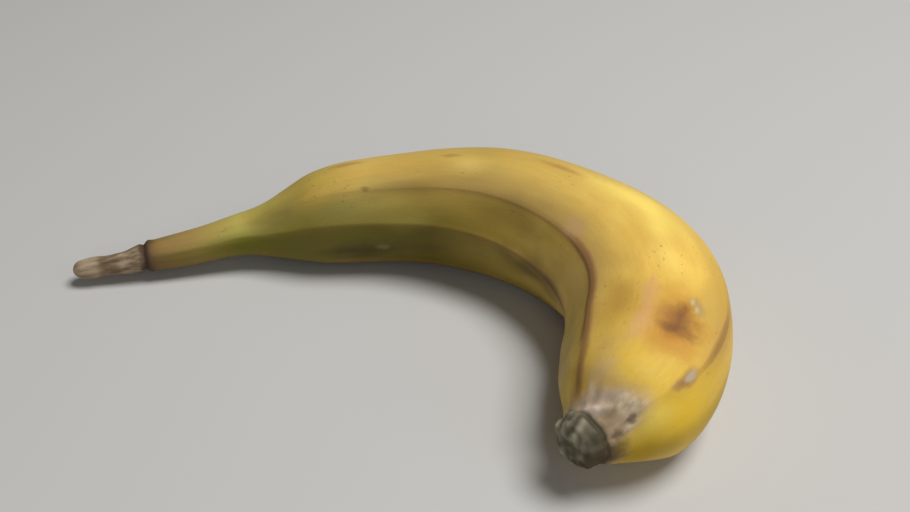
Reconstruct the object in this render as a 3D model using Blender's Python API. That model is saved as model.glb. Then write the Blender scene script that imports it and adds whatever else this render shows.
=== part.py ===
"""A ripe plantain lying on its side, as picked.

The stalk, the ribbed body and the dried blossom end grew as one piece, so they are one solid. It is a
bent rod. Its axis starts at the tip of the dried stub on the stalk, runs along the stalk and the
body, and ends at the face of the blossom end. Every cross-section has five ribs with flatter faces
between them. Metres, +Z up. The fruit lies on the plane z = 0, on three small flats.
"""

import math

import bmesh
import bpy
import numpy as np

MM = 0.001

# Driving dimensions. A share is a place along the axis, from 0 at the stub's tip to 1 at the blossom end.
LENGTH = 272 * MM

# How far each rib stands from the axis, at each share.
RIB_RADIUS = (
    (0.00, 3.0 * MM),
    (0.05, 3.6 * MM),
    (0.09, 5.0 * MM),
    (0.12, 5.8 * MM),
    (0.17, 6.5 * MM),
    (0.22, 8.4 * MM),
    (0.26, 12.8 * MM),
    (0.30, 17.3 * MM),
    (0.34, 19.0 * MM),
    (0.39, 20.0 * MM),
    (0.46, 21.6 * MM),
    (0.55, 23.3 * MM),
    (0.66, 24.0 * MM),
    (0.85, 24.2 * MM),
    (0.90, 22.1 * MM),
    (0.94, 17.9 * MM),
    (0.965, 13.2 * MM),
    (0.982, 7.8 * MM),
    (1.00, 7.6 * MM),
)

# How fast the axis turns in plan at each share, in degrees per centimetre of length.
BEND = (
    (0.0, -0.4),
    (0.2, 0.1),
    (0.3, 2.5),
    (0.42, 5.8),
    (0.55, 7.8),
    (0.7, 9.4),
    (0.85, 9.5),
    (1.0, 8.6),
)
HEADING_AT_MIDDLE = -17.7

# How far the blossom end is drawn off the axis towards the hollow side of the curve.
TIP_LEAN = ((0.78, 0.0), (0.86, 0.6 * MM), (0.91, 1.3 * MM), (0.95, 2.6 * MM), (1.0, 4.3 * MM))

# Height of the underside above the table at each share. It comes down to the table at three places.
UNDERSIDE = (
    (0.00, 3.4 * MM),
    (0.12, 3.5 * MM),
    (0.20, 5.3 * MM),
    (0.26, 2.2 * MM),
    (0.31, 0.2 * MM),
    (0.36, 0.0),
    (0.49, 0.5 * MM),
    (0.62, 0.0),
    (0.75, 0.4 * MM),
    (0.86, 0.0),
    (0.91, 0.9 * MM),
    (0.95, 6.6 * MM),
    (1.00, 11.9 * MM),
)
REST_DEPTH = 0.35 * MM

# Each rib's angle round the section at the stalk, at the middle and at the blossom end, in degrees
# from the hollow side up over the top, and how flat the face is from it to the next rib.
RIBS = (
    ("inner_low", (38, 10, -6), 0.83),
    ("inner_top", (72, 46, 46), 0.40),
    ("outer_top", (170, 160, 134), 0.27),
    ("outer_low", (254, 244, 218), 0.42),
    ("under", (340, 312, 302), 0.50),
)

# How strongly the section is ribbed at each share: 0 is round.
RIBBING = ((0.0, 0.1), (0.1, 0.3), (0.2, 0.8), (0.3, 1.0), (0.88, 1.0), (0.96, 0.3), (1.0, 0.0))

# The dried stub on the stalk, and the dried knob that the blossom leaves.
STUB_ROUND = 3.0 * MM
STUB_TIP_PART = 0.22
KNOB_FLUTES = 10
KNOB_FLUTE_DEPTH = 0.04
KNOB_FLUTING = ((0.96, 0.0), (0.975, 1.0), (1.0, 1.0))
KNOB_EDGE_PART = 0.93
KNOB_FACE_PART = 0.78
KNOB_FACE_RISE = 0.5 * MM
KNOB_HOLLOW = 1.2 * MM

# How finely the surface is divided.
BODY_STEP = 2.8 * MM
KNOB_STEP = 1.1 * MM
KNOB_STEPS_FROM = 0.945
FACE_COLUMNS = 8
AROUND = FACE_COLUMNS * len(RIBS)
ROUND_ROWS = 5
KNOB_FACE_ROWS = 4
AXIS_SAMPLES = 1500

# A curve through stations is eased by its mean over this span of shares.
EASING = np.linspace(-0.012, 0.012, 7)

PEEL_YELLOW = (0.72, 0.50, 0.09, 1.0)
PEEL_ROUGHNESS = 0.45


def smooth_through(stations):
    """A smooth function along (share, value) stations that never swings past them."""
    places, values = np.array(stations, float).T
    slopes = np.diff(values) / np.diff(places)
    tangents = np.concatenate([slopes[:1], np.zeros(len(slopes) - 1), slopes[-1:]])
    level = slopes[:-1] * slopes[1:] <= 0
    harmonic = 2 * slopes[:-1] * slopes[1:] / np.where(level, 1, slopes[:-1] + slopes[1:])
    tangents[1:-1] = np.where(level, 0, harmonic)

    def curve(at):
        at = np.clip(at, places[0], places[-1])
        left = np.clip(np.searchsorted(places, at, side="right") - 1, 0, len(slopes) - 1)
        width = places[left + 1] - places[left]
        t = (at - places[left]) / width
        rise = 3 * t**2 - 2 * t**3
        return (
            values[left] * (1 - rise)
            + values[left + 1] * rise
            + width * tangents[left] * (t - 2 * t**2 + t**3)
            + width * tangents[left + 1] * (t**3 - t**2)
        )

    return lambda at: sum(curve(at + offset) for offset in EASING) / len(EASING)


def axis_in_plan():
    """Shares, plan points and headings of the axis, which bends towards its right-hand side."""
    shares = np.linspace(0, 1, AXIS_SAMPLES)
    per_share = smooth_through(BEND)(shares) * LENGTH * 100
    step = shares[1]
    turned = np.concatenate([[0], np.cumsum((per_share[1:] + per_share[:-1]) / 2 * step)])
    headings = np.radians(HEADING_AT_MIDDLE - turned + np.interp(0.5, shares, turned))
    along = np.stack([np.cos(headings), np.sin(headings)], axis=1) * LENGTH * step
    points = np.concatenate([[[0, 0]], np.cumsum((along[1:] + along[:-1]) / 2, axis=0)])
    return shares, points, headings


def rows_along():
    """(share, part of the radius, how far past the axis's end) for each ring from stub to knob."""
    rows = [(0, STUB_TIP_PART, 0)]
    for angle in np.linspace(0, math.pi / 2, ROUND_ROWS + 1)[1:]:
        rows.append((STUB_ROUND / LENGTH * (1 - math.cos(angle)), math.sin(angle), 0))
    for start, end, step in ((rows[-1][0], KNOB_STEPS_FROM, BODY_STEP), (KNOB_STEPS_FROM, 1, KNOB_STEP)):
        count = round((end - start) * LENGTH / step)
        rows += [(share, 1, 0) for share in np.linspace(start, end, count)[1:]]
    rows[-1] = (1, KNOB_EDGE_PART, 0)
    for ring in range(KNOB_FACE_ROWS):
        part = KNOB_FACE_PART * (1 - ring / KNOB_FACE_ROWS)
        rows.append((1, part, KNOB_FACE_RISE - KNOB_HOLLOW * (1 - part**2)))
    return np.array(rows).T


def rib_angles(shares):
    """Each rib's angle at each share, in radians: one row for each rib."""
    offset = shares - 0.5
    angles = []
    for _, (stalk, middle, blossom), _ in RIBS:
        bow = (stalk + blossom) / 2 - middle
        angles.append(middle + (blossom - stalk) * offset + 4 * bow * offset**2)
    return np.radians(np.array(angles))


def ribbed_section(shares):
    """Angles and radius parts of every column in every ring, with a column on each rib."""
    ribs = rib_angles(shares)
    gaps = np.mod(np.roll(ribs, -1, axis=0) - ribs, 2 * math.pi)
    ribbing = smooth_through(RIBBING)(shares)
    angles, parts = [], []
    for rib, (_, _, flatness) in enumerate(RIBS):
        for column in range(FACE_COLUMNS):
            across = column / FACE_COLUMNS
            chord = np.cos(gaps[rib] / 2) / np.cos((across - 0.5) * gaps[rib])
            angles.append(ribs[rib] + across * gaps[rib])
            parts.append(1 - flatness * ribbing * (1 - chord))
    return np.array(angles).T, np.array(parts).T


def fruit_points():
    """The surface as an array of rings by columns by three coordinates."""
    shares, ring_parts, past_end = rows_along()
    angles, parts = ribbed_section(shares)
    waves = np.cos(KNOB_FLUTES * 2 * math.pi * np.arange(AROUND) / AROUND)
    flutes = 1 + KNOB_FLUTE_DEPTH * smooth_through(KNOB_FLUTING)(shares)[:, None] * waves
    radii = (smooth_through(RIB_RADIUS)(shares) * ring_parts)[:, None] * parts * flutes

    axis_shares, plan, headings = axis_in_plan()
    heading = np.interp(shares, axis_shares, headings)
    forward = np.stack([np.cos(heading), np.sin(heading), 0 * heading], axis=1)
    hollow_side = np.stack([np.sin(heading), -np.cos(heading), 0 * heading], axis=1)
    up = np.array([0, 0, 1.0])
    axis = np.stack([np.interp(shares, axis_shares, plan[:, i]) for i in (0, 1)] + [0 * shares], axis=1)
    axis += forward * past_end[:, None] + hollow_side * smooth_through(TIP_LEAN)(shares)[:, None]

    across = radii * np.cos(angles)
    height = radii * np.sin(angles)
    lowest = (height / ring_parts[:, None]).min(axis=1)
    axis_height = smooth_through(UNDERSIDE)(shares) - lowest - REST_DEPTH
    points = axis[:, None] + across[..., None] * hollow_side[:, None] + height[..., None] * up
    points[..., 2] += axis_height[:, None]
    points[..., :2] -= (points[..., :2].min(axis=(0, 1)) + points[..., :2].max(axis=(0, 1))) / 2
    return points


def bent_rod(points):
    """A rod with a ring of vertices for each ring of points, moved onto them."""
    rings, columns = points.shape[:2]
    rod = bmesh.new()
    bmesh.ops.create_cone(rod, cap_ends=True, segments=columns, radius1=1, radius2=1, depth=1)
    lengthwise = [edge for edge in rod.edges if abs(edge.verts[0].co.z - edge.verts[1].co.z) > 0.5]
    bmesh.ops.subdivide_edges(rod, edges=lengthwise, cuts=rings - 2, use_grid_fill=True)
    for vertex in rod.verts:
        ring = round((0.5 - vertex.co.z) * (rings - 1))
        column = round(math.atan2(vertex.co.y, vertex.co.x) / (2 * math.pi) * columns) % columns
        vertex.co = points[ring, column]
    return rod


def flatten_underside(rod):
    """Cuts the three low places off at the table, which leaves a small flat at each."""
    everything = rod.verts[:] + rod.edges[:] + rod.faces[:]
    bmesh.ops.bisect_plane(
        rod, geom=everything, dist=1e-7, plane_co=(0, 0, 0), plane_no=(0, 0, -1), clear_outer=True
    )
    rim = [edge for edge in rod.edges if edge.is_boundary]
    bmesh.ops.holes_fill(rod, edges=rim, sides=0)
    bmesh.ops.recalc_face_normals(rod, faces=rod.faces)


def peel_material():
    material = bpy.data.materials.new("peel")
    material.use_nodes = True
    shader = material.node_tree.nodes["Principled BSDF"]
    shader.inputs["Base Color"].default_value = PEEL_YELLOW
    shader.inputs["Roughness"].default_value = PEEL_ROUGHNESS
    shader.inputs["Metallic"].default_value = 0.0
    return material


def main():
    for old in list(bpy.data.objects):
        bpy.data.objects.remove(old)
    rod = bent_rod(fruit_points())
    flatten_underside(rod)
    mesh = bpy.data.meshes.new("plantain")
    rod.to_mesh(mesh)
    rod.free()
    mesh.shade_smooth()
    mesh.set_sharp_from_angle(angle=math.radians(40))
    mesh.materials.append(peel_material())
    collection = bpy.data.collections.new("plantain")
    bpy.context.scene.collection.children.link(collection)
    collection.objects.link(bpy.data.objects.new("plantain", mesh))


main()
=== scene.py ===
"""The looks of a ripe plantain: its fine peel, dried stub and blossom knob, on a plain studio floor.

The peel is the same bent rod as the solid that it replaces, from the same driving dimensions, with
many more rows and columns and with relief on it: rib keels, wrinkles, dents, scars and the shrivelled
ends. Colours and roughness follow "straight" coordinates, which are the fruit laid out straight: along
the axis, and across it towards the hollow side and up. A share is a place along the axis, from 0 at
the stub's tip to 1 at the blossom end, and an angle goes round the section from the hollow side (0)
over the top (90) to the outer side (180). Metres, +Z up.
"""

import math

import bmesh
import bpy
import numpy as np
from mathutils import Matrix, Vector, noise


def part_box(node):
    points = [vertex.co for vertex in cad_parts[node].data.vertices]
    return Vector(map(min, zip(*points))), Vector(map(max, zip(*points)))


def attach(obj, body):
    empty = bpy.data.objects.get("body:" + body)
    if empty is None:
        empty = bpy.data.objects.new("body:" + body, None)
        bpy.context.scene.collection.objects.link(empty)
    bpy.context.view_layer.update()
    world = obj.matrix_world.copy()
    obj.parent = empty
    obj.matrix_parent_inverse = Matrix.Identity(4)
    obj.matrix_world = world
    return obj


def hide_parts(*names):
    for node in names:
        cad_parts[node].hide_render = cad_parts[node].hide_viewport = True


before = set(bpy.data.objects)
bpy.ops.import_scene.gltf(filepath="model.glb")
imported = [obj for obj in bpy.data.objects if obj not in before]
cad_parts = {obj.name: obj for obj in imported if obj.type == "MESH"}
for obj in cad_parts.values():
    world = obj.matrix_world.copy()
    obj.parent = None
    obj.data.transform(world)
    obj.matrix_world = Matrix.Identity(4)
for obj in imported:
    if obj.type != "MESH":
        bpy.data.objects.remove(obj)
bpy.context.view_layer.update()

MM = 0.001

# The fruit's driving dimensions, as in its solid.
LENGTH = 272 * MM
RIB_RADIUS = (
    (0.00, 3.0 * MM),
    (0.05, 3.6 * MM),
    (0.09, 5.0 * MM),
    (0.12, 5.8 * MM),
    (0.17, 6.5 * MM),
    (0.22, 8.4 * MM),
    (0.26, 12.8 * MM),
    (0.30, 17.3 * MM),
    (0.34, 19.0 * MM),
    (0.39, 20.0 * MM),
    (0.46, 21.6 * MM),
    (0.55, 23.3 * MM),
    (0.66, 24.0 * MM),
    (0.85, 24.2 * MM),
    (0.90, 22.1 * MM),
    (0.94, 17.9 * MM),
    (0.965, 13.2 * MM),
    (0.982, 7.8 * MM),
    (1.00, 7.6 * MM),
)
BEND = (
    (0.0, -0.4),
    (0.2, 0.1),
    (0.3, 2.5),
    (0.42, 5.8),
    (0.55, 7.8),
    (0.7, 9.4),
    (0.85, 9.5),
    (1.0, 8.6),
)
HEADING_AT_MIDDLE = -17.7
TIP_LEAN = ((0.78, 0.0), (0.86, 0.6 * MM), (0.91, 1.3 * MM), (0.95, 2.6 * MM), (1.0, 4.3 * MM))
UNDERSIDE = (
    (0.00, 3.4 * MM),
    (0.12, 3.5 * MM),
    (0.20, 5.3 * MM),
    (0.26, 2.2 * MM),
    (0.31, 0.2 * MM),
    (0.36, 0.0),
    (0.49, 0.5 * MM),
    (0.62, 0.0),
    (0.75, 0.4 * MM),
    (0.86, 0.0),
    (0.91, 0.9 * MM),
    (0.95, 6.6 * MM),
    (1.00, 11.9 * MM),
)
REST_DEPTH = 0.35 * MM
RIBS = (
    ("inner_low", (38, 10, -6), 0.83),
    ("inner_top", (72, 46, 46), 0.40),
    ("outer_top", (170, 160, 134), 0.27),
    ("outer_low", (254, 244, 218), 0.42),
    ("under", (340, 312, 302), 0.50),
)
RIBBING = ((0.0, 0.1), (0.1, 0.3), (0.2, 0.8), (0.3, 1.0), (0.88, 1.0), (0.96, 0.3), (1.0, 0.0))
STUB_ROUND = 3.0 * MM
KNOB_FLUTES = 10
KNOB_FLUTE_DEPTH = 0.02
KNOB_FLUTING = ((0.96, 0.0), (0.975, 1.0), (1.0, 1.0))
KNOB_ROUNDING = ((0.98, 1.0), (0.986, 1.0), (0.993, 0.98), (1.0, 0.86))
KNOB_BULGE = 2.4 * MM
KNOB_HOLLOW = 1.2 * MM

# How finely the peel is divided, how far inside the rim the knob's first row lies, in rows, and how
# gently the curves and the ribs turn.
FACE_COLUMNS = 48
AROUND = FACE_COLUMNS * len(RIBS)
ROW_STEPS = ((0.095, 0.5 * MM), (0.93, 0.95 * MM), (1.0, 0.3 * MM))
ROUND_ROWS = 10
KNOB_FACE_ROWS = 22
KNOB_FIRST_ROW = 0.7
AXIS_SAMPLES = 1500
EASING = np.linspace(-0.012, 0.012, 7)
SHARP_EASING = np.linspace(-0.002, 0.002, 3)
RIB_ROUNDING = 2

# Where the dry husk round the knob begins: the share at each angle.
HUSK_EDGE = (
    (0, 0.983),
    (57, 0.981),
    (68, 0.969),
    (90, 0.966),
    (110, 0.960),
    (132, 0.957),
    (147, 0.965),
    (156, 0.976),
    (170, 0.983),
    (205, 0.982),
    (240, 0.984),
    (300, 0.985),
    (360, 0.983),
)

# The fold that slants over the husk, pale skin with a painted highlight on its crest: its share at each
# angle, and how plain it is there.
FOLD_LINE = ((0, 0.993), (66, 0.988), (81, 0.984), (92, 0.981), (102, 0.978), (112, 0.974), (360, 0.960))
FOLD_STRENGTH = ((50, 0.0), (64, 0.5), (80, 1.0), (104, 1.0), (113, 0.0), (360, 0.0))

# Lumps on the knob: angle, distance from its middle, width and height.
KNOB_LUMPS = (
    (101, 3.4 * MM, 1.8 * MM, 1.0 * MM),
    (44, 4.9 * MM, 1.6 * MM, 1.1 * MM),
    (355, 4.6 * MM, 1.4 * MM, 0.5 * MM),
    (307, 5.2 * MM, 1.6 * MM, 0.8 * MM),
    (285, 2.4 * MM, 1.3 * MM, 0.3 * MM),
    (100, 7.4 * MM, 1.9 * MM, 0.7 * MM),
    (19, 7.3 * MM, 1.7 * MM, 1.0 * MM),
    (146, 5.6 * MM, 1.7 * MM, 0.6 * MM),
    (194, 4.9 * MM, 1.7 * MM, 0.7 * MM),
    (238, 5.4 * MM, 1.6 * MM, 0.4 * MM),
    (272, 6.2 * MM, 1.4 * MM, 0.3 * MM),
    (332, 7.2 * MM, 1.5 * MM, 0.6 * MM),
)

# How far the knob is sunk between its lumps, in millimetres.
KNOB_SUNK = 0.25

# How much of each part's relief there is at each share, and for the husk at each distance past its
# edge, in millimetres.
LIVE_SKIN = ((0.09, 0.0), (0.11, 1.0), (0.95, 1.0), (0.97, 0.0))
STUB_SKIN = ((0.0, 0.8), (0.01, 1.0), (0.078, 1.0), (0.088, 0.0))
NECK_SKIN = ((0.09, 0.6), (0.2, 1.0), (0.27, 0.5), (0.34, 0.0))
KNOB_SKIN = ((0.984, 0.0), (0.99, 1.0), (1.0, 1.0))
HUSK_SKIN = ((-3.0, 0.0), (3.0, 1.0), (12.0, 1.0))

# Relief that is uneven all over a part: the part, its height in millimetres, its grain size along and
# across, and the seed of its noise.
UNEVEN_RELIEF = (
    ("live", 0.45, 32 * MM, 19 * MM, 1),
    ("live", 0.10, 11 * MM, 8 * MM, 2),
    ("neck", 0.16, 16 * MM, 1.7 * MM, 3),
    ("stub", 0.55, 9 * MM, 1.5 * MM, 4),
    ("stub", 0.45, 6 * MM, 4 * MM, 5),
    ("husk", 0.45, 6 * MM, 2.2 * MM, 6),
    ("husk", 0.30, 2.6 * MM, 2.2 * MM, 7),
    ("knob", 0.22, 1.8 * MM, 1.8 * MM, 8),
)
SEED_STEP = 17.3

# Other relief, with heights and depths in millimetres: the keel on each rib, the rim and the groove
# where the stub ends, the fold's ridge and the dip above it, and the groove round the knob, which is
# deeper on one side. Each has its place, its width and its height. The stub's and the knob's go by
# share, the fold's by millimetres past its line, and the groove's deep side by angle.
RIB_KEEL_HEIGHT = 0.16
RIB_KEEL_WIDTH = 1.1 * MM
STUB_RINGS = ((0.0915, 0.004, 0.45), (0.0855, 0.0028, -0.75))
FOLD_WAVES = ((0.2, 1.1, 0.9), (-2.4, 1.2, -0.8))
KNOB_GROOVE = (0.9865, 0.0026)
KNOB_GROOVE_DEPTH = 0.2
KNOB_GROOVE_SIDE = (135, 50)
KNOB_GROOVE_SIDE_DEPTH = 1.0

# Hollows under the bruise and the two scars: share, half length as a share, angle, half width in
# degrees, and depth in millimetres.
HOLLOWS = (
    (0.880, 0.022, 107, 15, 0.50),
    (0.917, 0.008, 137, 4, 0.25),
    (0.852, 0.006, 120, 5, 0.15),
)

# Bands of colour on the ends, by share: where each starts, is full, begins to fade and has gone.
STUB_WAIST = (0.026, 0.040, 0.048, 0.060)
STUB_GROOVE = (0.076, 0.084, 0.089, 0.102)
# The knob's crease band is painted shade in its groove.
KNOB_CREASE_SHADE = (0.9835, 0.9855, 0.9890, 0.9930)

# The same beside the fold, by millimetres past its line.
FOLD_HOLLOW = (-5.2, -2.8, -1.8, -0.8)
# The crest band is a painted highlight on the fold's pale skin.
FOLD_HIGHLIGHT = (-1.7, -0.7, 1.1, 2.3)

# Where colours on the ends take over, and where the skin is dry, by share: from none to all.
STUB_BROWN = (0.108, 0.086)
STUB_DRIED = (0.086, 0.080)
STUB_TIP = (0.036, 0.018)
KNOB_SIDE = (0.9835, 0.9865)
KNOB_END = (0.9865, 0.9890)
# The knob's outer rim and its lower side take painted shade, partly brown below.
KNOB_RIM_SHADE = (0.986, 0.990)
KNOB_LOW_SHADE = (0.976, 0.986)
DRY_STUB = (0.10, 0.085)
DRY_END = (0.945, 0.965)

# The same round the husk's edge, by millimetres past it.
HUSK_GLOW = (-4.2, 0.6)
HUSK_START = (-1.4, 1.6)

# How deep the painted shade beside the inner top rib is at each share, how far it reaches above the rib and
# inside it, and how strong it is.
SHOULDER = (
    (0.32, 0.0),
    (0.38, 0.5),
    (0.44, 0.7),
    (0.55, 1.0),
    (0.72, 1.0),
    (0.80, 0.9),
    (0.87, 0.55),
    (0.94, 0.0),
)
SHOULDER_REACH = 14 * MM
SHOULDER_START = 2.6 * MM
SHOULDER_STRENGTH = 0.7

# How far round beside a rib its worn line runs, in degrees, and how brown each rib is at each share.
WORN_BESIDE_RIB = {"inner_top": ((0.0, 0.0), (0.89, 0.0), (0.95, 5.0), (1.0, 6.0))}
RIB_STAINS = {
    "inner_low": ((0.25, 0.0), (0.5, 0.15), (0.62, 0.35), (0.70, 1.0), (0.80, 0.7), (0.95, 0.3)),
    "inner_top": ((0.25, 0.1), (0.5, 0.12), (0.66, 0.3), (0.74, 0.9), (0.82, 1.0), (0.96, 0.9)),
    "outer_top": ((0.3, 0.1), (0.82, 0.05), (0.85, 0.6), (0.89, 0.75), (0.905, 0.3), (0.94, 0.1)),
    "outer_low": ((0.3, 0.2), (0.5, 0.5), (0.8, 0.4), (0.95, 0.2)),
    "under": ((0.25, 0.3), (0.4, 0.8), (0.7, 0.7), (0.9, 0.3)),
}


def tint(red, green, blue):
    """A colour from its 0 to 255 screen values."""
    screen = np.array([red, green, blue]) / 255
    linear = np.where(screen > 0.04045, ((screen + 0.055) / 1.055) ** 2.4, screen / 12.92)
    return (*linear.tolist(), 1)


# Colours along the fruit, by share: the lit top and outer side, and the hollow side in painted shade, partly
# a real olive tint.
LIT_SKIN = (
    (0.09, tint(126, 104, 66)),
    (0.14, tint(148, 130, 84)),
    (0.20, tint(194, 188, 100)),
    (0.28, tint(186, 164, 78)),
    (0.36, tint(222, 188, 98)),
    (0.50, tint(200, 169, 86)),
    (0.62, tint(219, 184, 94)),
    (0.80, tint(240, 198, 94)),
    (0.90, tint(230, 192, 82)),
    (0.96, tint(214, 178, 60)),
)
SHADED_SKIN = (
    (0.09, tint(110, 88, 54)),
    (0.15, tint(132, 118, 52)),
    (0.20, tint(108, 104, 22)),
    (0.30, tint(108, 102, 36)),
    (0.45, tint(101, 91, 24)),
    (0.60, tint(180, 154, 70)),
    (0.80, tint(240, 206, 116)),
    (0.96, tint(230, 198, 110)),
)

# Broad patches of the skin: name, share, angle, half length along, half width around, strength and colour.
# Those marked below are painted shade and painted light.
SKIN_PATCHES = (
    # Painted shade on the neck's hollow side.
    ("neck shade", 0.250, 50, 20 * MM, 7 * MM, 0.55, tint(112, 106, 60)),
    ("green flank", 0.330, 40, 36 * MM, 10 * MM, 0.5, tint(104, 112, 60)),
    # Painted shade on the outer flank, partly a duller yellow.
    ("flank shade", 0.835, 144, 36 * MM, 9 * MM, 0.7, tint(186, 150, 72)),
    # Painted shade, lighter and darker, on the hollow side's faces and along the inner top rib.
    ("lighter hollow shade", 0.420, 19, 18 * MM, 6 * MM, 0.65, tint(150, 136, 62)),
    ("lighter face shade", 0.790, 26, 26 * MM, 9 * MM, 0.65, tint(226, 192, 116)),
    ("rib edge shade", 0.420, 45, 26 * MM, 6 * MM, 0.4, tint(112, 94, 40)),
    ("pale crest", 0.488, 76, 12 * MM, 8 * MM, 0.55, tint(232, 200, 112)),
    ("soft flank", 0.785, 68, 12 * MM, 7 * MM, 0.4, tint(186, 148, 72)),
    # Painted shade on the outer flank, partly a duller yellow.
    ("flank shade spot", 0.848, 131, 12 * MM, 6 * MM, 0.5, tint(190, 154, 84)),
    ("belly shade", 0.640, 357, 42 * MM, 9 * MM, 0.8, tint(92, 74, 26)),
    ("neck top", 0.236, 70, 12 * MM, 6 * MM, 0.55, tint(150, 136, 60)),
    # Painted shade on the hollow side's face.
    ("hollow face shade", 0.585, 38, 26 * MM, 8 * MM, 0.45, tint(92, 78, 32)),
    # Painted light on the top: a lighter crest and a painted highlight.
    ("lit crest", 0.695, 116, 25 * MM, 13 * MM, 0.85, tint(255, 226, 112)),
    ("highlight spot", 0.790, 103, 14 * MM, 8 * MM, 0.5, tint(255, 224, 118)),
    ("mustard patch", 0.866, 66, 20 * MM, 10 * MM, 0.7, tint(170, 128, 56)),
    ("golden flank", 0.930, 168, 20 * MM, 15 * MM, 0.65, tint(234, 192, 34)),
    ("pale flank", 0.958, 153, 12 * MM, 8 * MM, 0.6, tint(236, 210, 104)),
    ("golden edge", 0.895, 182, 28 * MM, 8 * MM, 0.6, tint(176, 142, 24)),
    # Painted shade, partly olive, where the fruit curves under towards its blossom end.
    ("olive foot shade", 0.960, 198, 14 * MM, 10 * MM, 0.5, tint(146, 120, 14)),
    ("mustard patch end", 0.930, 68, 17 * MM, 8 * MM, 0.55, tint(180, 146, 100)),
)

# How ragged the patches' edges are, with its grain size along and across and its seed, and the least
# cover that their colour is divided by.
PATCH_RAGGEDNESS = 0.35
PATCH_GRAIN = (12 * MM, 7 * MM, 9)
LEAST_COVER = 1e-6

# A colour mix node's factor and two colours among its inputs, and the colour among its outputs.
MIX_INPUTS = (0, 6, 7)
MIX_OUTPUT = 2

# Marks on the skin and on the husk: name, share, angle, half length along, half width around, raggedness
# of the edge, how far in the full strength starts, strength and colour.
SKIN_MARKS = (
    ("bruise halo", 0.880, 106, 14.5 * MM, 13.5 * MM, 0.9, 0.2, 0.75, tint(192, 134, 46)),
    ("bruise upper lobe", 0.845, 101, 8 * MM, 7 * MM, 0.9, 0.1, 0.4, tint(200, 142, 60)),
    ("bruise lower lobe", 0.899, 113, 5.5 * MM, 8 * MM, 0.9, 0.2, 0.5, tint(196, 134, 44)),
    ("pale mist", 0.958, 80, 8 * MM, 7 * MM, 1.0, 0.0, 0.45, tint(200, 172, 136)),
    ("pink streak", 0.850, 85, 11 * MM, 3.6 * MM, 0.9, 0.2, 0.45, tint(214, 160, 118)),
    ("pink streak end", 0.893, 85, 9 * MM, 4.0 * MM, 0.9, 0.1, 0.5, tint(222, 170, 124)),
    ("bruise", 0.874, 109, 8.5 * MM, 8.5 * MM, 1.2, 0.1, 0.75, tint(140, 86, 28)),
    ("bruise across", 0.883, 109, 2.6 * MM, 8 * MM, 1.1, 0.0, 0.6, tint(108, 62, 30)),
    ("bruise along", 0.871, 111, 6 * MM, 3.4 * MM, 1.1, 0.0, 0.55, tint(112, 64, 30)),
    ("upper scar", 0.849, 118, 2.7 * MM, 2.6 * MM, 0.7, 0.3, 0.6, tint(166, 146, 100)),
    ("upper scar end", 0.855, 123, 2.7 * MM, 2.5 * MM, 0.7, 0.3, 0.5, tint(164, 146, 104)),
    ("upper scar line", 0.851, 116.5, 1.7 * MM, 1.1 * MM, 0.7, 0.1, 0.6, tint(212, 192, 136)),
    ("upper scar line end", 0.857, 120, 1.7 * MM, 1.1 * MM, 0.7, 0.1, 0.6, tint(206, 188, 134)),
    ("lower scar rim", 0.921, 137, 5.2 * MM, 2.7 * MM, 0.6, 0.2, 0.75, tint(138, 98, 62)),
    ("lower scar tail", 0.930, 136, 3.4 * MM, 2.0 * MM, 0.7, 0.1, 0.6, tint(140, 100, 70)),
    ("lower scar", 0.917, 137, 3.0 * MM, 1.6 * MM, 0.3, 0.3, 0.72, tint(180, 168, 144)),
    ("rib spot", 0.357, 51, 2.2 * MM, 1.6 * MM, 0.9, 0.2, 0.55, tint(116, 84, 46)),
    ("first edge streak", 0.336, 102, 9 * MM, 2.8 * MM, 1.0, 0.1, 0.55, tint(166, 108, 58)),
    ("second edge streak", 0.463, 89, 5.5 * MM, 2.0 * MM, 1.0, 0.1, 0.5, tint(154, 116, 54)),
    ("third edge streak", 0.592, 102, 13 * MM, 2.8 * MM, 1.0, 0.1, 0.5, tint(172, 112, 66)),
    ("rubbed patch", 0.692, 50, 9 * MM, 5 * MM, 1.0, 0.1, 0.4, tint(186, 146, 118)),
    # Painted shade, partly a darker olive, on the low inner side.
    ("low patch", 0.350, 342, 20 * MM, 6 * MM, 1.3, 0.1, 0.6, tint(58, 44, 18)),
    ("low patch end", 0.440, 346, 16 * MM, 4 * MM, 1.3, 0.1, 0.35, tint(76, 58, 16)),
    ("low pale spot", 0.380, 346, 4.0 * MM, 2.0 * MM, 0.9, 0.2, 0.5, tint(150, 130, 84)),
    ("back scuff", 0.610, 196, 15 * MM, 3.2 * MM, 1.2, 0.0, 0.5, tint(158, 110, 62)),
    ("back freckle", 0.470, 222, 3.4 * MM, 2.4 * MM, 1.0, 0.2, 0.6, tint(118, 78, 44)),
    ("back streak", 0.800, 214, 12 * MM, 2.4 * MM, 1.2, 0.1, 0.5, tint(150, 100, 60)),
    ("back scar", 0.745, 168, 3.6 * MM, 2.2 * MM, 0.8, 0.3, 0.6, tint(190, 164, 120)),
    ("underside patch", 0.640, 280, 24 * MM, 9 * MM, 1.2, 0.0, 0.4, tint(150, 118, 56)),
)
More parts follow.
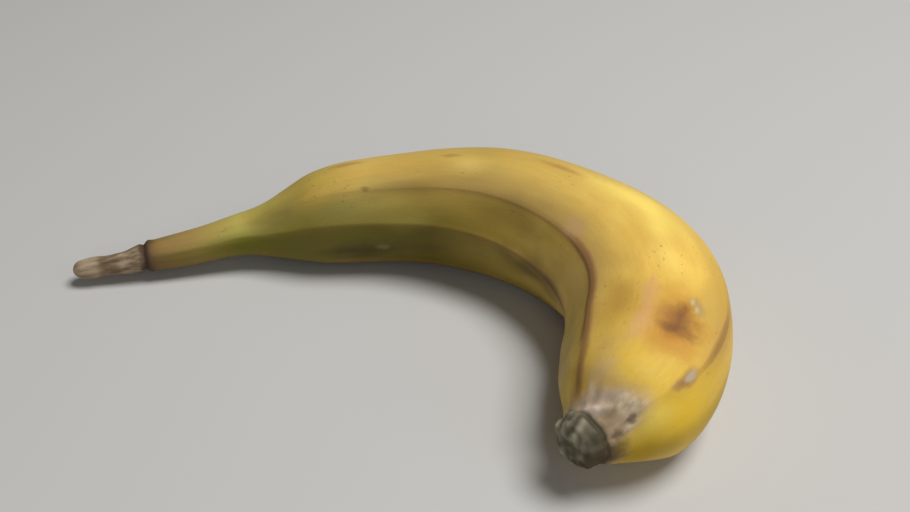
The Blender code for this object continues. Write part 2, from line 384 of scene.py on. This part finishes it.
HUSK_MARKS = (
    ("husk shade", 0.980, 124, 4.0 * MM, 7.5 * MM, 0.9, 0.1, 0.75, tint(138, 116, 86)),
    ("husk spot", 0.967, 138, 1.9 * MM, 1.9 * MM, 0.9, 0.3, 0.75, tint(92, 66, 50)),
    ("lower husk spot", 0.979, 148, 1.8 * MM, 2.2 * MM, 0.9, 0.2, 0.6, tint(104, 82, 58)),
    ("husk shoulder", 0.982, 60, 3.5 * MM, 3.5 * MM, 0.8, 0.1, 0.55, tint(112, 98, 78)),
    ("husk corner", 0.979, 169, 4.0 * MM, 3.2 * MM, 0.9, 0.1, 0.7, tint(118, 98, 44)),
    # Painted shade where the fruit curves under beside the knob.
    ("husk foot shade", 0.982, 196, 4.6 * MM, 6.5 * MM, 0.9, 0.1, 0.8, tint(92, 72, 36)),
)

# How the peel takes the light: roughness where it is fresh and dry, shine, and the fine grain's size
# along and across, height and strength.
FRESH_ROUGHNESS = 0.52
DRY_ROUGHNESS = 0.8
SHINE = 0.18
FINE_GRAIN = (1.6 * MM, 0.7 * MM)
FINE_HEIGHT = 0.12 * MM
FINE_STRENGTH = 0.5

# The studio: its floor, its even light, and its softboxes by name, place, target, size and watts.
FLOOR_SIZE = 4
FLOOR_COLOUR = (0.54, 0.53, 0.51, 1)
FLOOR_ROUGHNESS = 0.9
EVEN_LIGHT = (1.0, 0.98, 0.94, 1)
EVEN_LIGHT_STRENGTH = 0.08
SOFTBOXES = (
    ("key", (0.54, -0.05, 1.30), (0.02, -0.01, 0.02), 0.7, 18),
    ("right fill", (1.10, -0.63, 0.68), (0.02, -0.01, 0.02), 0.7, 1.4),
    ("front fill", (-0.04, -1.27, 0.78), (0.04, -0.01, 0.02), 0.8, 2.7),
)

# The camera: its focal length and picture in pixels, sensor width in millimetres, elevation in degrees,
# distance, nearest point, and the pixel where the frame's origin is seen.
FOCAL_PIXELS = 1100
FRAME_WIDTH, FRAME_HEIGHT = 910, 512
SENSOR = 36.0
CAMERA_ELEVATION = 37.06
CAMERA_DISTANCE = 342.5 * MM
CAMERA_NEAREST = 10 * MM
ORIGIN_PIXEL = (379.2, 338.3)


def smooth_through(stations, easing=EASING):
    """A smooth function along (share, value) stations that never swings past them."""
    places, values = np.array(stations, float).T
    slopes = np.diff(values) / np.diff(places)
    tangents = np.concatenate([slopes[:1], np.zeros(len(slopes) - 1), slopes[-1:]])
    level = slopes[:-1] * slopes[1:] <= 0
    harmonic = 2 * slopes[:-1] * slopes[1:] / np.where(level, 1, slopes[:-1] + slopes[1:])
    tangents[1:-1] = np.where(level, 0, harmonic)

    def curve(at):
        at = np.clip(at, places[0], places[-1])
        left = np.clip(np.searchsorted(places, at, side="right") - 1, 0, len(slopes) - 1)
        width = places[left + 1] - places[left]
        t = (at - places[left]) / width
        rise = 3 * t**2 - 2 * t**3
        return (
            values[left] * (1 - rise)
            + values[left + 1] * rise
            + width * tangents[left] * (t - 2 * t**2 + t**3)
            + width * tangents[left + 1] * (t**3 - t**2)
        )

    return lambda at: sum(curve(at + offset) for offset in easing) / len(easing)


def axis_in_plan():
    """Shares, plan points and headings of the axis, which bends towards its right-hand side."""
    shares = np.linspace(0, 1, AXIS_SAMPLES)
    per_share = smooth_through(BEND)(shares) * LENGTH * 100
    step = shares[1]
    turned = np.concatenate([[0], np.cumsum((per_share[1:] + per_share[:-1]) / 2 * step)])
    headings = np.radians(HEADING_AT_MIDDLE - turned + np.interp(0.5, shares, turned))
    along = np.stack([np.cos(headings), np.sin(headings)], axis=1) * LENGTH * step
    points = np.concatenate([[[0, 0]], np.cumsum((along[1:] + along[:-1]) / 2, axis=0)])
    return shares, points, headings


def rows_along():
    """(share, part of the radius, how far past the axis's end) for each ring from stub to knob."""
    rows = []
    for angle in np.linspace(0, math.pi / 2, ROUND_ROWS + 1)[1:]:
        rows.append((STUB_ROUND / LENGTH * (1 - math.cos(angle)), math.sin(angle), 0))
    for end, step in ROW_STEPS:
        start = rows[-1][0]
        rows += [(share, 1, 0) for share in np.linspace(start, end, round((end - start) * LENGTH / step))[1:]]
    for ring in range(KNOB_FACE_ROWS):
        part = 1 - (ring + KNOB_FIRST_ROW) / KNOB_FACE_ROWS
        sunk = 1 - part**2
        rows.append((1, part, KNOB_BULGE * math.sqrt(sunk) - KNOB_HOLLOW * sunk**2))
    return np.array(rows).T


def rib_angles(shares):
    """Each rib's angle at each share, in radians: one row for each rib."""
    offset = shares - 0.5
    angles = []
    for _, (stalk, middle, blossom), _ in RIBS:
        bow = (stalk + blossom) / 2 - middle
        angles.append(middle + (blossom - stalk) * offset + 4 * bow * offset**2)
    return np.radians(np.array(angles))


def ribbed_section(shares):
    """Angles and radius parts of every column in every ring, with a column on each rib."""
    ribs = rib_angles(shares)
    gaps = np.mod(np.roll(ribs, -1, axis=0) - ribs, 2 * math.pi)
    ribbing = smooth_through(RIBBING)(shares)
    angles, parts = [], []
    for rib, (_, _, flatness) in enumerate(RIBS):
        for column in range(FACE_COLUMNS):
            across = column / FACE_COLUMNS
            chord = np.cos(gaps[rib] / 2) / np.cos((across - 0.5) * gaps[rib])
            angles.append(ribs[rib] + across * gaps[rib])
            parts.append(1 - flatness * ribbing * (1 - chord))
    parts = np.array(parts)
    spread = range(-RIB_ROUNDING, RIB_ROUNDING + 1)
    rounded = sum(np.roll(parts, offset, axis=0) for offset in spread) / len(spread)
    return np.array(angles).T, rounded.T


def unevenness(straight, along, across, seed):
    """Noise from about -1 to 1 over the laid-out fruit, with its grain size along and across."""
    scaled = straight / np.array([along, across, across]) + seed * SEED_STEP
    values = [noise.noise(Vector(place)) for place in scaled.reshape(-1, 3)]
    return np.array(values).reshape(straight.shape[:2])


def knob_lumps(straight):
    """Round lumps on the knob's face and rim, in millimetres."""
    raised = 0
    for angle, out, width, height in KNOB_LUMPS:
        turned = math.radians(angle)
        middle = (LENGTH, out * math.cos(turned), out * math.sin(turned))
        away = np.linalg.norm(straight - middle, axis=-1)
        raised = np.maximum(raised, height / MM * bell(away, 0, width))
    return raised


def bell(value, centre, width):
    return np.exp(-(((value - centre) / width) ** 2))


def turned_from(angles, start):
    """How far round each angle is from a start, in radians, up to half a turn either way."""
    return np.mod(angles - start + math.pi, 2 * math.pi) - math.pi


def round_bell(angles, centre, width):
    """1 at an angle, in degrees, falling to 0 on both sides of it."""
    return bell(np.degrees(turned_from(angles, math.radians(centre))), 0, width)


def straight_place(shares, angles, radii):
    """The fruit laid out straight: along the axis, towards the hollow side, and up."""
    along = np.broadcast_to(shares[:, None] * LENGTH, angles.shape)
    return np.stack([along, radii * np.cos(angles), radii * np.sin(angles)], axis=-1)


def rib_gaps(angles, radii, shares):
    """Each point's distance to the nearest rib's worn line, and how brown that line is there."""
    ribs = rib_angles(shares)
    for row, (name, _, _) in enumerate(RIBS):
        if name in WORN_BESIDE_RIB:
            ribs[row] += np.radians(smooth_through(WORN_BESIDE_RIB[name])(shares))
    distances = np.abs(turned_from(angles[None], ribs[:, :, None])) * radii[None]
    nearest = distances.argmin(axis=0)
    stains = np.stack([smooth_through(RIB_STAINS[name])(shares) for name, _, _ in RIBS])
    stains = np.broadcast_to(stains[:, :, None], distances.shape)
    pick = nearest[None]
    return np.take_along_axis(distances, pick, 0)[0], np.take_along_axis(stains, pick, 0)[0]


def shoulder_shade(angles, radii, shares):
    """How much painted shade each point takes: most on the inner top rib, fading slowly above it and quickly
    inside it.
    """
    rib = rib_angles(shares)[[name for name, _, _ in RIBS].index("inner_top")]
    beside = turned_from(angles, rib[:, None]) * radii
    beside = np.where(beside < 0, -beside / SHOULDER_START, beside / SHOULDER_REACH)
    fading = 0.5 + 0.5 * np.cos(math.pi * np.clip(beside, 0, 1))
    return fading * smooth_through(SHOULDER)(shares)[:, None]


def mark_centres(shares, angles, straight):
    """The laid-out place of each patch and mark, by name."""
    centres = {}
    for name, share, angle, *_ in SKIN_PATCHES + SKIN_MARKS + HUSK_MARKS:
        row = np.abs(shares - share).argmin()
        column = np.abs(turned_from(angles[row], math.radians(angle))).argmin()
        centres[name] = straight[row, column]
    return centres


def patch_paint(straight, centres):
    """The colour that the broad patches leave at each point, and how much of the skin it covers."""
    paint = np.zeros(straight.shape)
    cover = np.zeros(straight.shape[:2])
    ragged = PATCH_RAGGEDNESS * unevenness(straight, *PATCH_GRAIN)
    for name, _, _, along, around, strength, colour in SKIN_PATCHES:
        away = np.linalg.norm((straight - centres[name]) / (along, around, around), axis=-1)
        inside = np.clip(1 - away - ragged, 0, 1)
        mask = strength * inside**2 * (3 - 2 * inside)
        paint = paint * (1 - mask)[..., None] + np.array(colour[:3]) * mask[..., None]
        cover = cover * (1 - mask) + mask
    return paint / np.maximum(cover, LEAST_COVER)[..., None], cover


def relief(shares, angles, straight, rib_gap, past_husk, past_fold, fold):
    """How far the peel stands out of its plain shape at each point, in metres."""
    along = shares[:, None] + 0 * angles
    amounts = {
        "live": smooth_through(LIVE_SKIN, SHARP_EASING)(along),
        "stub": smooth_through(STUB_SKIN, SHARP_EASING)(along),
        "neck": smooth_through(NECK_SKIN)(along),
        "husk": smooth_through(HUSK_SKIN, SHARP_EASING)(past_husk),
        "knob": smooth_through(KNOB_SKIN, SHARP_EASING)(along),
    }
    raised = amounts["live"] * RIB_KEEL_HEIGHT * bell(rib_gap, 0, RIB_KEEL_WIDTH)
    raised += amounts["knob"] * (knob_lumps(straight) - KNOB_SUNK)
    for part, height, *pattern in UNEVEN_RELIEF:
        raised += amounts[part] * height * unevenness(straight, *pattern)
    for share, width, height in STUB_RINGS:
        raised += height * bell(along, share, width)
    for past, width, height in FOLD_WAVES:
        raised += fold * height * bell(past_fold, past, width)
    depth = KNOB_GROOVE_DEPTH + KNOB_GROOVE_SIDE_DEPTH * round_bell(angles, *KNOB_GROOVE_SIDE)
    raised -= depth * bell(along, *KNOB_GROOVE)
    for share, length, angle, width, depth in HOLLOWS:
        raised -= depth * bell(along, share, length) * round_bell(angles, angle, width)
    return raised * MM


def plain_radii(shares, parts):
    """Each point's distance from the axis, before the ends are closed and the relief is added."""
    waves = np.cos(KNOB_FLUTES * 2 * math.pi * np.arange(AROUND) / AROUND)
    flutes = 1 + KNOB_FLUTE_DEPTH * smooth_through(KNOB_FLUTING)(shares)[:, None] * waves
    rounding = smooth_through(KNOB_ROUNDING, SHARP_EASING)(shares)
    return (smooth_through(RIB_RADIUS)(shares) * rounding)[:, None] * parts * flutes


def ring_frames(shares, past_end, lowest):
    """Each ring's middle, and which way is forward and which way the hollow side is there."""
    axis_shares, plan, headings = axis_in_plan()
    heading = np.interp(shares, axis_shares, headings)
    forward = np.stack([np.cos(heading), np.sin(heading), 0 * heading], axis=1)
    hollow_side = np.stack([np.sin(heading), -np.cos(heading), 0 * heading], axis=1)
    in_plan = [np.interp(shares, axis_shares, plan[:, i]) for i in (0, 1)]
    middle = np.stack(in_plan + [0 * shares], axis=1)
    middle += forward * past_end[:, None] + hollow_side * smooth_through(TIP_LEAN)(shares)[:, None]
    middle[:, 2] = smooth_through(UNDERSIDE)(shares) - lowest - REST_DEPTH
    return middle, forward, hollow_side


def placed(shares, angles, ring_parts, past_end, full, raised):
    """The peel's points in the frame, where the solid lies."""
    lowest = (full * np.sin(angles)).min(axis=1)
    middle, forward, hollow_side = ring_frames(shares, past_end, lowest)
    end_face = (shares >= 1)[:, None] & (ring_parts < 1)[:, None]
    radii = full * ring_parts[:, None] + np.where(end_face, 0, raised) * ring_parts[:, None]
    radii[end_face[:, 0]] *= (radii[~end_face[:, 0]][-1] / full[-1])[None]
    points = middle[:, None] + (radii * np.cos(angles))[..., None] * hollow_side[:, None]
    points[..., 2] += radii * np.sin(angles)
    bulge = np.where(end_face, raised * np.sqrt(1 - ring_parts**2)[:, None], 0)
    points += bulge[..., None] * forward[:, None]
    low, high = (np.array(corner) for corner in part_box("plantain"))
    points[..., :2] += ((low + high) / 2)[:2] - (points.min(axis=(0, 1)) + points.max(axis=(0, 1)))[:2] / 2
    points[..., 2] = np.maximum(points[..., 2], 0)
    return points


def peel_surface():
    """The peel's points, as rings by columns by three, and what its material reads there."""
    shares, ring_parts, past_end = rows_along()
    angles, parts = ribbed_section(shares)
    full = plain_radii(shares, parts)
    straight = straight_place(shares, angles, full * ring_parts[:, None])
    rib_gap, rib_stain = rib_gaps(angles, full, shares)
    turned = np.degrees(angles) % 360
    past_husk = (shares[:, None] - smooth_through(HUSK_EDGE)(turned)) * LENGTH / MM
    past_fold = (shares[:, None] - smooth_through(FOLD_LINE)(turned)) * LENGTH / MM
    fold = smooth_through(FOLD_STRENGTH)(turned)
    raised = relief(shares, angles, straight, rib_gap, past_husk, past_fold, fold)
    centres = mark_centres(shares, angles, straight)
    paint, cover = patch_paint(straight, centres)
    vectors = {"straight": straight, "patch_colour": paint}
    values = {
        "rib_gap": rib_gap,
        "rib_stain": rib_stain,
        "shoulder": shoulder_shade(angles, full, shares),
        "raised": raised / MM,
        "past_husk": past_husk,
        "past_fold": past_fold,
        "fold": fold,
        "patch_cover": cover,
    }
    points = placed(shares, angles, ring_parts, past_end, full, raised)
    return points, vectors, values, centres


def bent_rod(points):
    """A rod with a ring of vertices for each ring of points, and each vertex's ring and column."""
    rings, columns = points.shape[:2]
    rod = bmesh.new()
    bmesh.ops.create_cone(rod, cap_ends=True, segments=columns, radius1=1, radius2=1, depth=1)
    lengthwise = [edge for edge in rod.edges if abs(edge.verts[0].co.z - edge.verts[1].co.z) > 0.5]
    bmesh.ops.subdivide_edges(rod, edges=lengthwise, cuts=rings - 2, use_grid_fill=True)
    mesh = bpy.data.meshes.new("peel")
    rod.to_mesh(mesh)
    rod.free()
    flat = np.empty(len(mesh.vertices) * 3)
    mesh.vertices.foreach_get("co", flat)
    x, y, z = flat.reshape(-1, 3).T
    ring = np.round((0.5 - z) * (rings - 1)).astype(int)
    column = np.round(np.arctan2(y, x) / (2 * math.pi) * columns).astype(int) % columns
    mesh.vertices.foreach_set("co", points[ring, column].ravel())
    mesh.update()
    return mesh, ring, column


def fine_peel():
    """The piece that shows the fruit, with what its material reads at each vertex."""
    points, vectors, values, centres = peel_surface()
    mesh, ring, column = bent_rod(points)
    for name, vector in vectors.items():
        layer = mesh.attributes.new(name, "FLOAT_VECTOR", "POINT")
        layer.data.foreach_set("vector", vector[ring, column].ravel())
    for name, value in values.items():
        layer = mesh.attributes.new(name, "FLOAT", "POINT")
        layer.data.foreach_set("value", value[ring, column])
    mesh.shade_smooth()
    mesh.materials.append(peel_material(centres))
    peel = bpy.data.objects.new("peel", mesh)
    bpy.context.scene.collection.objects.link(peel)
    return peel


def put(tree, socket, value):
    """Link another socket to this one or set its value, or leave it as it is for None."""
    if isinstance(value, bpy.types.NodeSocket):
        tree.links.new(value, socket)
    elif value is not None:
        socket.default_value = value


def add(tree, kind, *values, out=0, **settings):
    """Add a node with these settings and, in order, these input values; give one of its outputs."""
    made = tree.nodes.new("ShaderNode" + kind)
    for name, value in settings.items():
        setattr(made, name, value)
    for socket, value in zip(made.inputs, values):
        put(tree, socket, value)
    return made.outputs[out]


def maths(tree, operation, *values):
    return add(tree, "Math", *values, operation=operation)


def attribute(tree, name, out="Fac"):
    return add(tree, "Attribute", attribute_name=name, out=out)


def eased(tree, value, start, end, low=0.0, high=1.0):
    """A value that goes smoothly from low at the start to high at the end."""
    return add(tree, "MapRange", value, start, end, low, high, interpolation_type="SMOOTHSTEP")


def between(tree, value, start, full, fading, end):
    """1 where a value lies between full and fading, and smoothly less down to the start and the end."""
    return maths(tree, "MULTIPLY", eased(tree, value, start, full), eased(tree, value, end, fading))


def mixed(tree, factor, first, second):
    """The second colour over the first, as far as the factor says."""
    mix = tree.nodes.new("ShaderNodeMix")
    mix.data_type = "RGBA"
    for number, value in zip(MIX_INPUTS, (factor, first, second)):
        put(tree, mix.inputs[number], value)
    return mix.outputs[MIX_OUTPUT]


def grain(tree, place, along, across, detail=3.0, roughness=0.55):
    """Noise with its grain size along and across the laid-out fruit."""
    stretch = (1 / along, 1 / across, 1 / across)
    scaled = add(tree, "VectorMath", place, stretch, operation="MULTIPLY")
    return add(tree, "TexNoise", scaled, None, 1.0, detail, roughness)


def wandering(tree, value, place, along, across, reach):
    """A value that wanders over this reach, with grain of this size along and across."""
    wander = maths(tree, "SUBTRACT", grain(tree, place, along, across), 0.5)
    return maths(tree, "ADD", value, maths(tree, "MULTIPLY", wander, reach))


def ramp(tree, factor, stops):
    """A colour that follows (place, colour) stops."""
    made = tree.nodes.new("ShaderNodeValToRGB")
    put(tree, made.inputs[0], factor)
    elements = made.color_ramp.elements
    while len(elements) < len(stops):
        elements.new(1)
    for element, (place, colour) in zip(elements, stops):
        element.position = place
        element.color = colour
    return made.outputs[0]


def blotch_group():
    """The mask of one spot on the laid-out fruit, ragged at its edge."""
    group = bpy.data.node_groups.new("blotch", "ShaderNodeTree")
    for name in ("Place", "Centre", "Size"):
        group.interface.new_socket(name, in_out="INPUT", socket_type="NodeSocketVector")
    for name in ("Ragged", "Core"):
        group.interface.new_socket(name, in_out="INPUT", socket_type="NodeSocketFloat")
    group.interface.new_socket("Mask", in_out="OUTPUT", socket_type="NodeSocketFloat")
    inside = group.nodes.new("NodeGroupInput").outputs
    offset = add(group, "VectorMath", inside["Place"], inside["Centre"], operation="SUBTRACT")
    scaled = add(group, "VectorMath", offset, inside["Size"], operation="DIVIDE")
    away = add(group, "VectorMath", scaled, out="Value", operation="LENGTH")
    edge = add(group, "TexNoise", scaled, None, 1.6, 3.0, 0.6)
    shift = maths(group, "MULTIPLY", maths(group, "SUBTRACT", edge, 0.5), inside["Ragged"])
    ragged = maths(group, "ADD", away, shift)
    mask = eased(group, ragged, 1.0, inside["Core"])
    group.links.new(mask, group.nodes.new("NodeGroupOutput").inputs["Mask"])
    return group


def blotch(tree, group, place, centre, along, around, ragged, core):
    """The mask of a spot round this centre, from its half length and half width."""
    made = tree.nodes.new("ShaderNodeGroup")
    made.node_tree = group
    put(tree, made.inputs["Place"], place)
    made.inputs["Centre"].default_value = centre
    made.inputs["Size"].default_value = (along, around, around)
    made.inputs["Ragged"].default_value = ragged
    made.inputs["Core"].default_value = core
    return made.outputs["Mask"]


def strength_of(tree, mask, strength):
    return maths(tree, "MULTIPLY", mask, strength)


def skin_colour(tree, place, share):
    """Yellow over the top and the outer side, painted shade towards the hollow, partly a real olive tint,
    with uneven ripening.
    """
    sunny = ramp(tree, share, LIT_SKIN)
    shaded = ramp(tree, share, SHADED_SKIN)
    across = add(tree, "VectorMath", place, (0, 1, 1), operation="MULTIPLY")
    across = add(tree, "VectorMath", across, operation="NORMALIZE")
    across = add(tree, "SeparateXYZ", across).node.outputs
    inward = maths(tree, "SUBTRACT", across["Y"], maths(tree, "MULTIPLY", across["Z"], 1.25))
    cloud = eased(tree, grain(tree, place, 24 * MM, 13 * MM), 0.35, 0.68)
    sunny = mixed(tree, strength_of(tree, cloud, 0.30), sunny, tint(196, 150, 62))
    shaded = mixed(tree, strength_of(tree, cloud, 0.25), shaded, tint(120, 96, 30))
    # Painted shade: the shaded colours take over towards the hollow side and away from the top.
    colour = mixed(tree, eased(tree, inward, -0.65, 0.85), sunny, shaded)
    fibre = eased(tree, grain(tree, place, 12 * MM, 1.3 * MM, 4.0), 0.35, 0.7)
    return mixed(tree, strength_of(tree, fibre, 0.07), colour, tint(120, 92, 40))


def with_shoulder_shade(tree, colour):
    """Painted shade above the inner top rib."""
    dimmed = strength_of(tree, attribute(tree, "shoulder"), SHOULDER_STRENGTH)
    return mixed(tree, dimmed, colour, tint(146, 121, 70))


def with_patches(tree, colour):
    """The broad patches, which are worked out on the mesh, with painted shade and painted light among them.
    """
    paint = attribute(tree, "patch_colour", "Vector")
    return mixed(tree, attribute(tree, "patch_cover"), colour, paint)


def with_flecks(tree, colour, place):
    """Small brown flecks and pores."""
    sprinkled = eased(tree, grain(tree, place, 26 * MM, 20 * MM, 1.0), 0.45, 0.62)
    flecks = eased(tree, grain(tree, place, 2.2 * MM, 1.1 * MM, 2.0), 0.66, 0.72)
    flecks = maths(tree, "MULTIPLY", flecks, sprinkled)
    colour = mixed(tree, strength_of(tree, flecks, 0.45), colour, tint(112, 74, 40))
    pores = eased(tree, grain(tree, place, 0.9 * MM, 0.45 * MM, 1.0), 0.66, 0.74)
    return mixed(tree, strength_of(tree, pores, 0.16), colour, tint(105, 76, 38))


def with_rib_lines(tree, colour, place):
    """Brown lines along the ribs, where the peel has rubbed."""
    gap = wandering(tree, attribute(tree, "rib_gap"), place, 14 * MM, 5 * MM, 1.3 * MM)
    worn = attribute(tree, "rib_stain")
    reach = eased(tree, worn, 0.4, 1.0, 0.8 * MM, 2.3 * MM)
    line = maths(tree, "MULTIPLY", eased(tree, gap, reach, 0.3 * MM), worn)
    glow = maths(tree, "MULTIPLY", eased(tree, gap, 4.2 * MM, 0.6 * MM), worn)
    colour = mixed(tree, strength_of(tree, glow, 0.32), colour, tint(176, 128, 86))
    return mixed(tree, strength_of(tree, line, 0.75), colour, tint(112, 76, 56))


def with_marks(tree, colour, place, group, marks, centres):
    """Each mark painted over those before it."""
    for name, _, _, along, around, ragged, core, strength, paint in marks:
        mask = blotch(tree, group, place, centres[name], along, around, ragged, core)
        colour = mixed(tree, strength_of(tree, mask, strength), colour, paint)
    return colour


def with_stub(tree, colour, place, share):
    """Grey-brown dried skin on the stub, dark at the groove where it meets the live stalk."""
    streaks = eased(tree, grain(tree, place, 7 * MM, 1.6 * MM, 4.0), 0.28, 0.72)
    dried = mixed(tree, streaks, tint(104, 87, 62), tint(176, 156, 130))
    ragged = wandering(tree, share, place, 5 * MM, 3 * MM, 0.02)
    colour = mixed(tree, eased(tree, ragged, *STUB_BROWN), colour, tint(112, 86, 50))
    colour = mixed(tree, eased(tree, ragged, *STUB_DRIED), colour, dried)
    tip = eased(tree, ragged, *STUB_TIP)
    colour = mixed(tree, strength_of(tree, tip, 0.4), colour, tint(178, 156, 130))
    waist = between(tree, ragged, *STUB_WAIST)
    colour = mixed(tree, strength_of(tree, waist, 0.45), colour, tint(92, 74, 54))
    groove = between(tree, share, *STUB_GROOVE)
    return mixed(tree, strength_of(tree, groove, 0.8), colour, tint(72, 56, 46))


def with_husk(tree, colour, place):
    """Pale dry skin round the knob, which fades into the yellow."""
    edge = wandering(tree, attribute(tree, "past_husk"), place, 5 * MM, 4 * MM, 4.0)
    creases = eased(tree, grain(tree, place, 5 * MM, 1.8 * MM, 3.0), 0.3, 0.7)
    husk = mixed(tree, creases, tint(188, 162, 130), tint(218, 198, 166))
    glow = eased(tree, edge, *HUSK_GLOW)
    colour = mixed(tree, strength_of(tree, glow, 0.6), colour, tint(208, 174, 126))
    return mixed(tree, eased(tree, edge, *HUSK_START), colour, husk)


def with_fold(tree, colour, place):
    """The fold over the husk, pale skin with a painted highlight along its crest, and the mauve-grey hollow
    above it.
    """
    past = wandering(tree, attribute(tree, "past_fold"), place, 3 * MM, 2.5 * MM, 1.6)
    plain = attribute(tree, "fold")
    hollow = maths(tree, "MULTIPLY", between(tree, past, *FOLD_HOLLOW), plain)
    crest = maths(tree, "MULTIPLY", between(tree, past, *FOLD_HIGHLIGHT), plain)
    colour = mixed(tree, strength_of(tree, hollow, 0.7), colour, tint(198, 178, 158))
    # Painted highlight along the fold's crest, partly its pale skin.
    return mixed(tree, strength_of(tree, crest, 0.85), colour, tint(206, 188, 172))


def with_knob(tree, colour, place, share):
    """The grey-green knob with painted shade between its lumps and painted light on them, painted shade in
    the crease and on the rim's outer side, and painted shade, partly brown, on its lower side.
    """
    parts = add(tree, "SeparateXYZ", place).node.outputs
    # Painted shade in the crease round the knob, on its outer side.
    away_side = eased(tree, parts["Y"], 2.5 * MM, -1.0 * MM)
    crease = maths(tree, "MULTIPLY", between(tree, share, *KNOB_CREASE_SHADE), away_side)
    colour = mixed(tree, eased(tree, share, *KNOB_SIDE), colour, tint(124, 116, 92))
    # Painted shade between the lumps and painted light on their tops, by their height.
    height = eased(tree, attribute(tree, "raised"), -0.4, 0.7)
    lump_light_and_shade = mixed(tree, height, tint(94, 89, 70), tint(160, 154, 130))
    colour = mixed(tree, eased(tree, share, *KNOB_END), colour, lump_light_and_shade)
    colour = mixed(tree, strength_of(tree, crease, 0.75), colour, tint(62, 54, 40))
    # Painted shade on the outer side of the knob's rim.
    outer = eased(tree, parts["Y"], -3.4 * MM, -5.6 * MM)
    outer = maths(tree, "MULTIPLY", outer, eased(tree, share, *KNOB_RIM_SHADE))
    colour = mixed(tree, strength_of(tree, outer, 0.75), colour, tint(70, 64, 47))
    # Painted shade, partly brown, on the knob's lower outer side.
    low = eased(tree, maths(tree, "ADD", parts["Y"], parts["Z"]), -3.0 * MM, -8.0 * MM)
    low = maths(tree, "MULTIPLY", low, eased(tree, share, *KNOB_LOW_SHADE))
    return mixed(tree, strength_of(tree, low, 0.75), colour, tint(78, 62, 44))


def peel_material(centres):
    material = bpy.data.materials.new("peel")
    material.use_nodes = True
    tree = material.node_tree
    shader = tree.nodes["Principled BSDF"]
    place = attribute(tree, "straight", "Vector")
    along = add(tree, "SeparateXYZ", place)
    share = maths(tree, "DIVIDE", along, LENGTH)
    colour = skin_colour(tree, place, share)
    colour = with_shoulder_shade(tree, colour)
    colour = with_patches(tree, colour)
    colour = with_flecks(tree, colour, place)
    colour = with_rib_lines(tree, colour, place)
    spots = blotch_group()
    colour = with_marks(tree, colour, place, spots, SKIN_MARKS, centres)
    colour = with_stub(tree, colour, place, share)
    colour = with_husk(tree, colour, place)
    colour = with_fold(tree, colour, place)
    colour = with_marks(tree, colour, place, spots, HUSK_MARKS, centres)
    colour = with_knob(tree, colour, place, share)
    put(tree, shader.inputs["Base Color"], colour)
    dry = maths(tree, "MAXIMUM", eased(tree, share, *DRY_STUB), eased(tree, share, *DRY_END))
    roughness = eased(tree, dry, 0.0, 1.0, FRESH_ROUGHNESS, DRY_ROUGHNESS)
    put(tree, shader.inputs["Roughness"], roughness)
    shader.inputs["Specular IOR Level"].default_value = SHINE
    bump = tree.nodes.new("ShaderNodeBump")
    bump.inputs["Distance"].default_value = FINE_HEIGHT
    bump.inputs["Strength"].default_value = FINE_STRENGTH
    put(tree, bump.inputs["Height"], grain(tree, place, *FINE_GRAIN))
    put(tree, shader.inputs["Normal"], bump.outputs[0])
    return material


def floor_material():
    material = bpy.data.materials.new("floor")
    material.use_nodes = True
    shader = material.node_tree.nodes["Principled BSDF"]
    shader.inputs["Base Color"].default_value = FLOOR_COLOUR
    shader.inputs["Roughness"].default_value = FLOOR_ROUGHNESS
    return material


def add_floor():
    grid = bmesh.new()
    bmesh.ops.create_grid(grid, x_segments=1, y_segments=1, size=FLOOR_SIZE)
    mesh = bpy.data.meshes.new("floor")
    grid.to_mesh(mesh)
    grid.free()
    mesh.materials.append(floor_material())
    floor = bpy.data.objects.new("floor", mesh)
    bpy.context.scene.collection.objects.link(floor)


def add_softbox(name, place, target, size, watts):
    data = bpy.data.lights.new(name, "AREA")
    data.shape = "DISK"
    data.size = size
    data.energy = watts
    light = bpy.data.objects.new(name, data)
    light.location = place
    light.rotation_euler = (Vector(target) - Vector(place)).to_track_quat("-Z", "Y").to_euler()
    bpy.context.scene.collection.objects.link(light)


def light_studio():
    world = bpy.data.worlds.new("studio")
    world.use_nodes = True
    background = world.node_tree.nodes["Background"]
    background.inputs["Color"].default_value = EVEN_LIGHT
    background.inputs["Strength"].default_value = EVEN_LIGHT_STRENGTH
    bpy.context.scene.world = world
    bpy.context.scene.view_settings.view_transform = "Standard"
    for softbox in SOFTBOXES:
        add_softbox(*softbox)


def add_camera():
    pitch = math.radians(CAMERA_ELEVATION)
    looking = Vector((0, math.cos(pitch), -math.sin(pitch)))
    right = Vector((1, 0, 0))
    upward = right.cross(looking)
    per_pixel = CAMERA_DISTANCE / FOCAL_PIXELS
    origin_right = (ORIGIN_PIXEL[0] - FRAME_WIDTH / 2) * per_pixel
    origin_up = (FRAME_HEIGHT / 2 - ORIGIN_PIXEL[1]) * per_pixel
    data = bpy.data.cameras.new("camera")
    data.sensor_width = SENSOR
    data.lens = SENSOR * FOCAL_PIXELS / FRAME_WIDTH
    data.clip_start = CAMERA_NEAREST
    camera = bpy.data.objects.new("camera", data)
    camera.matrix_world = Matrix.Translation(
        -(right * origin_right + upward * origin_up + looking * CAMERA_DISTANCE)
    ) @ Matrix((right, upward, -looking)).transposed().to_4x4()
    bpy.context.scene.collection.objects.link(camera)
    bpy.context.scene.camera = camera


def main():
    light_studio()
    add_floor()
    peel = fine_peel()
    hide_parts("plantain")
    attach(peel, "root")
    add_camera()


main()
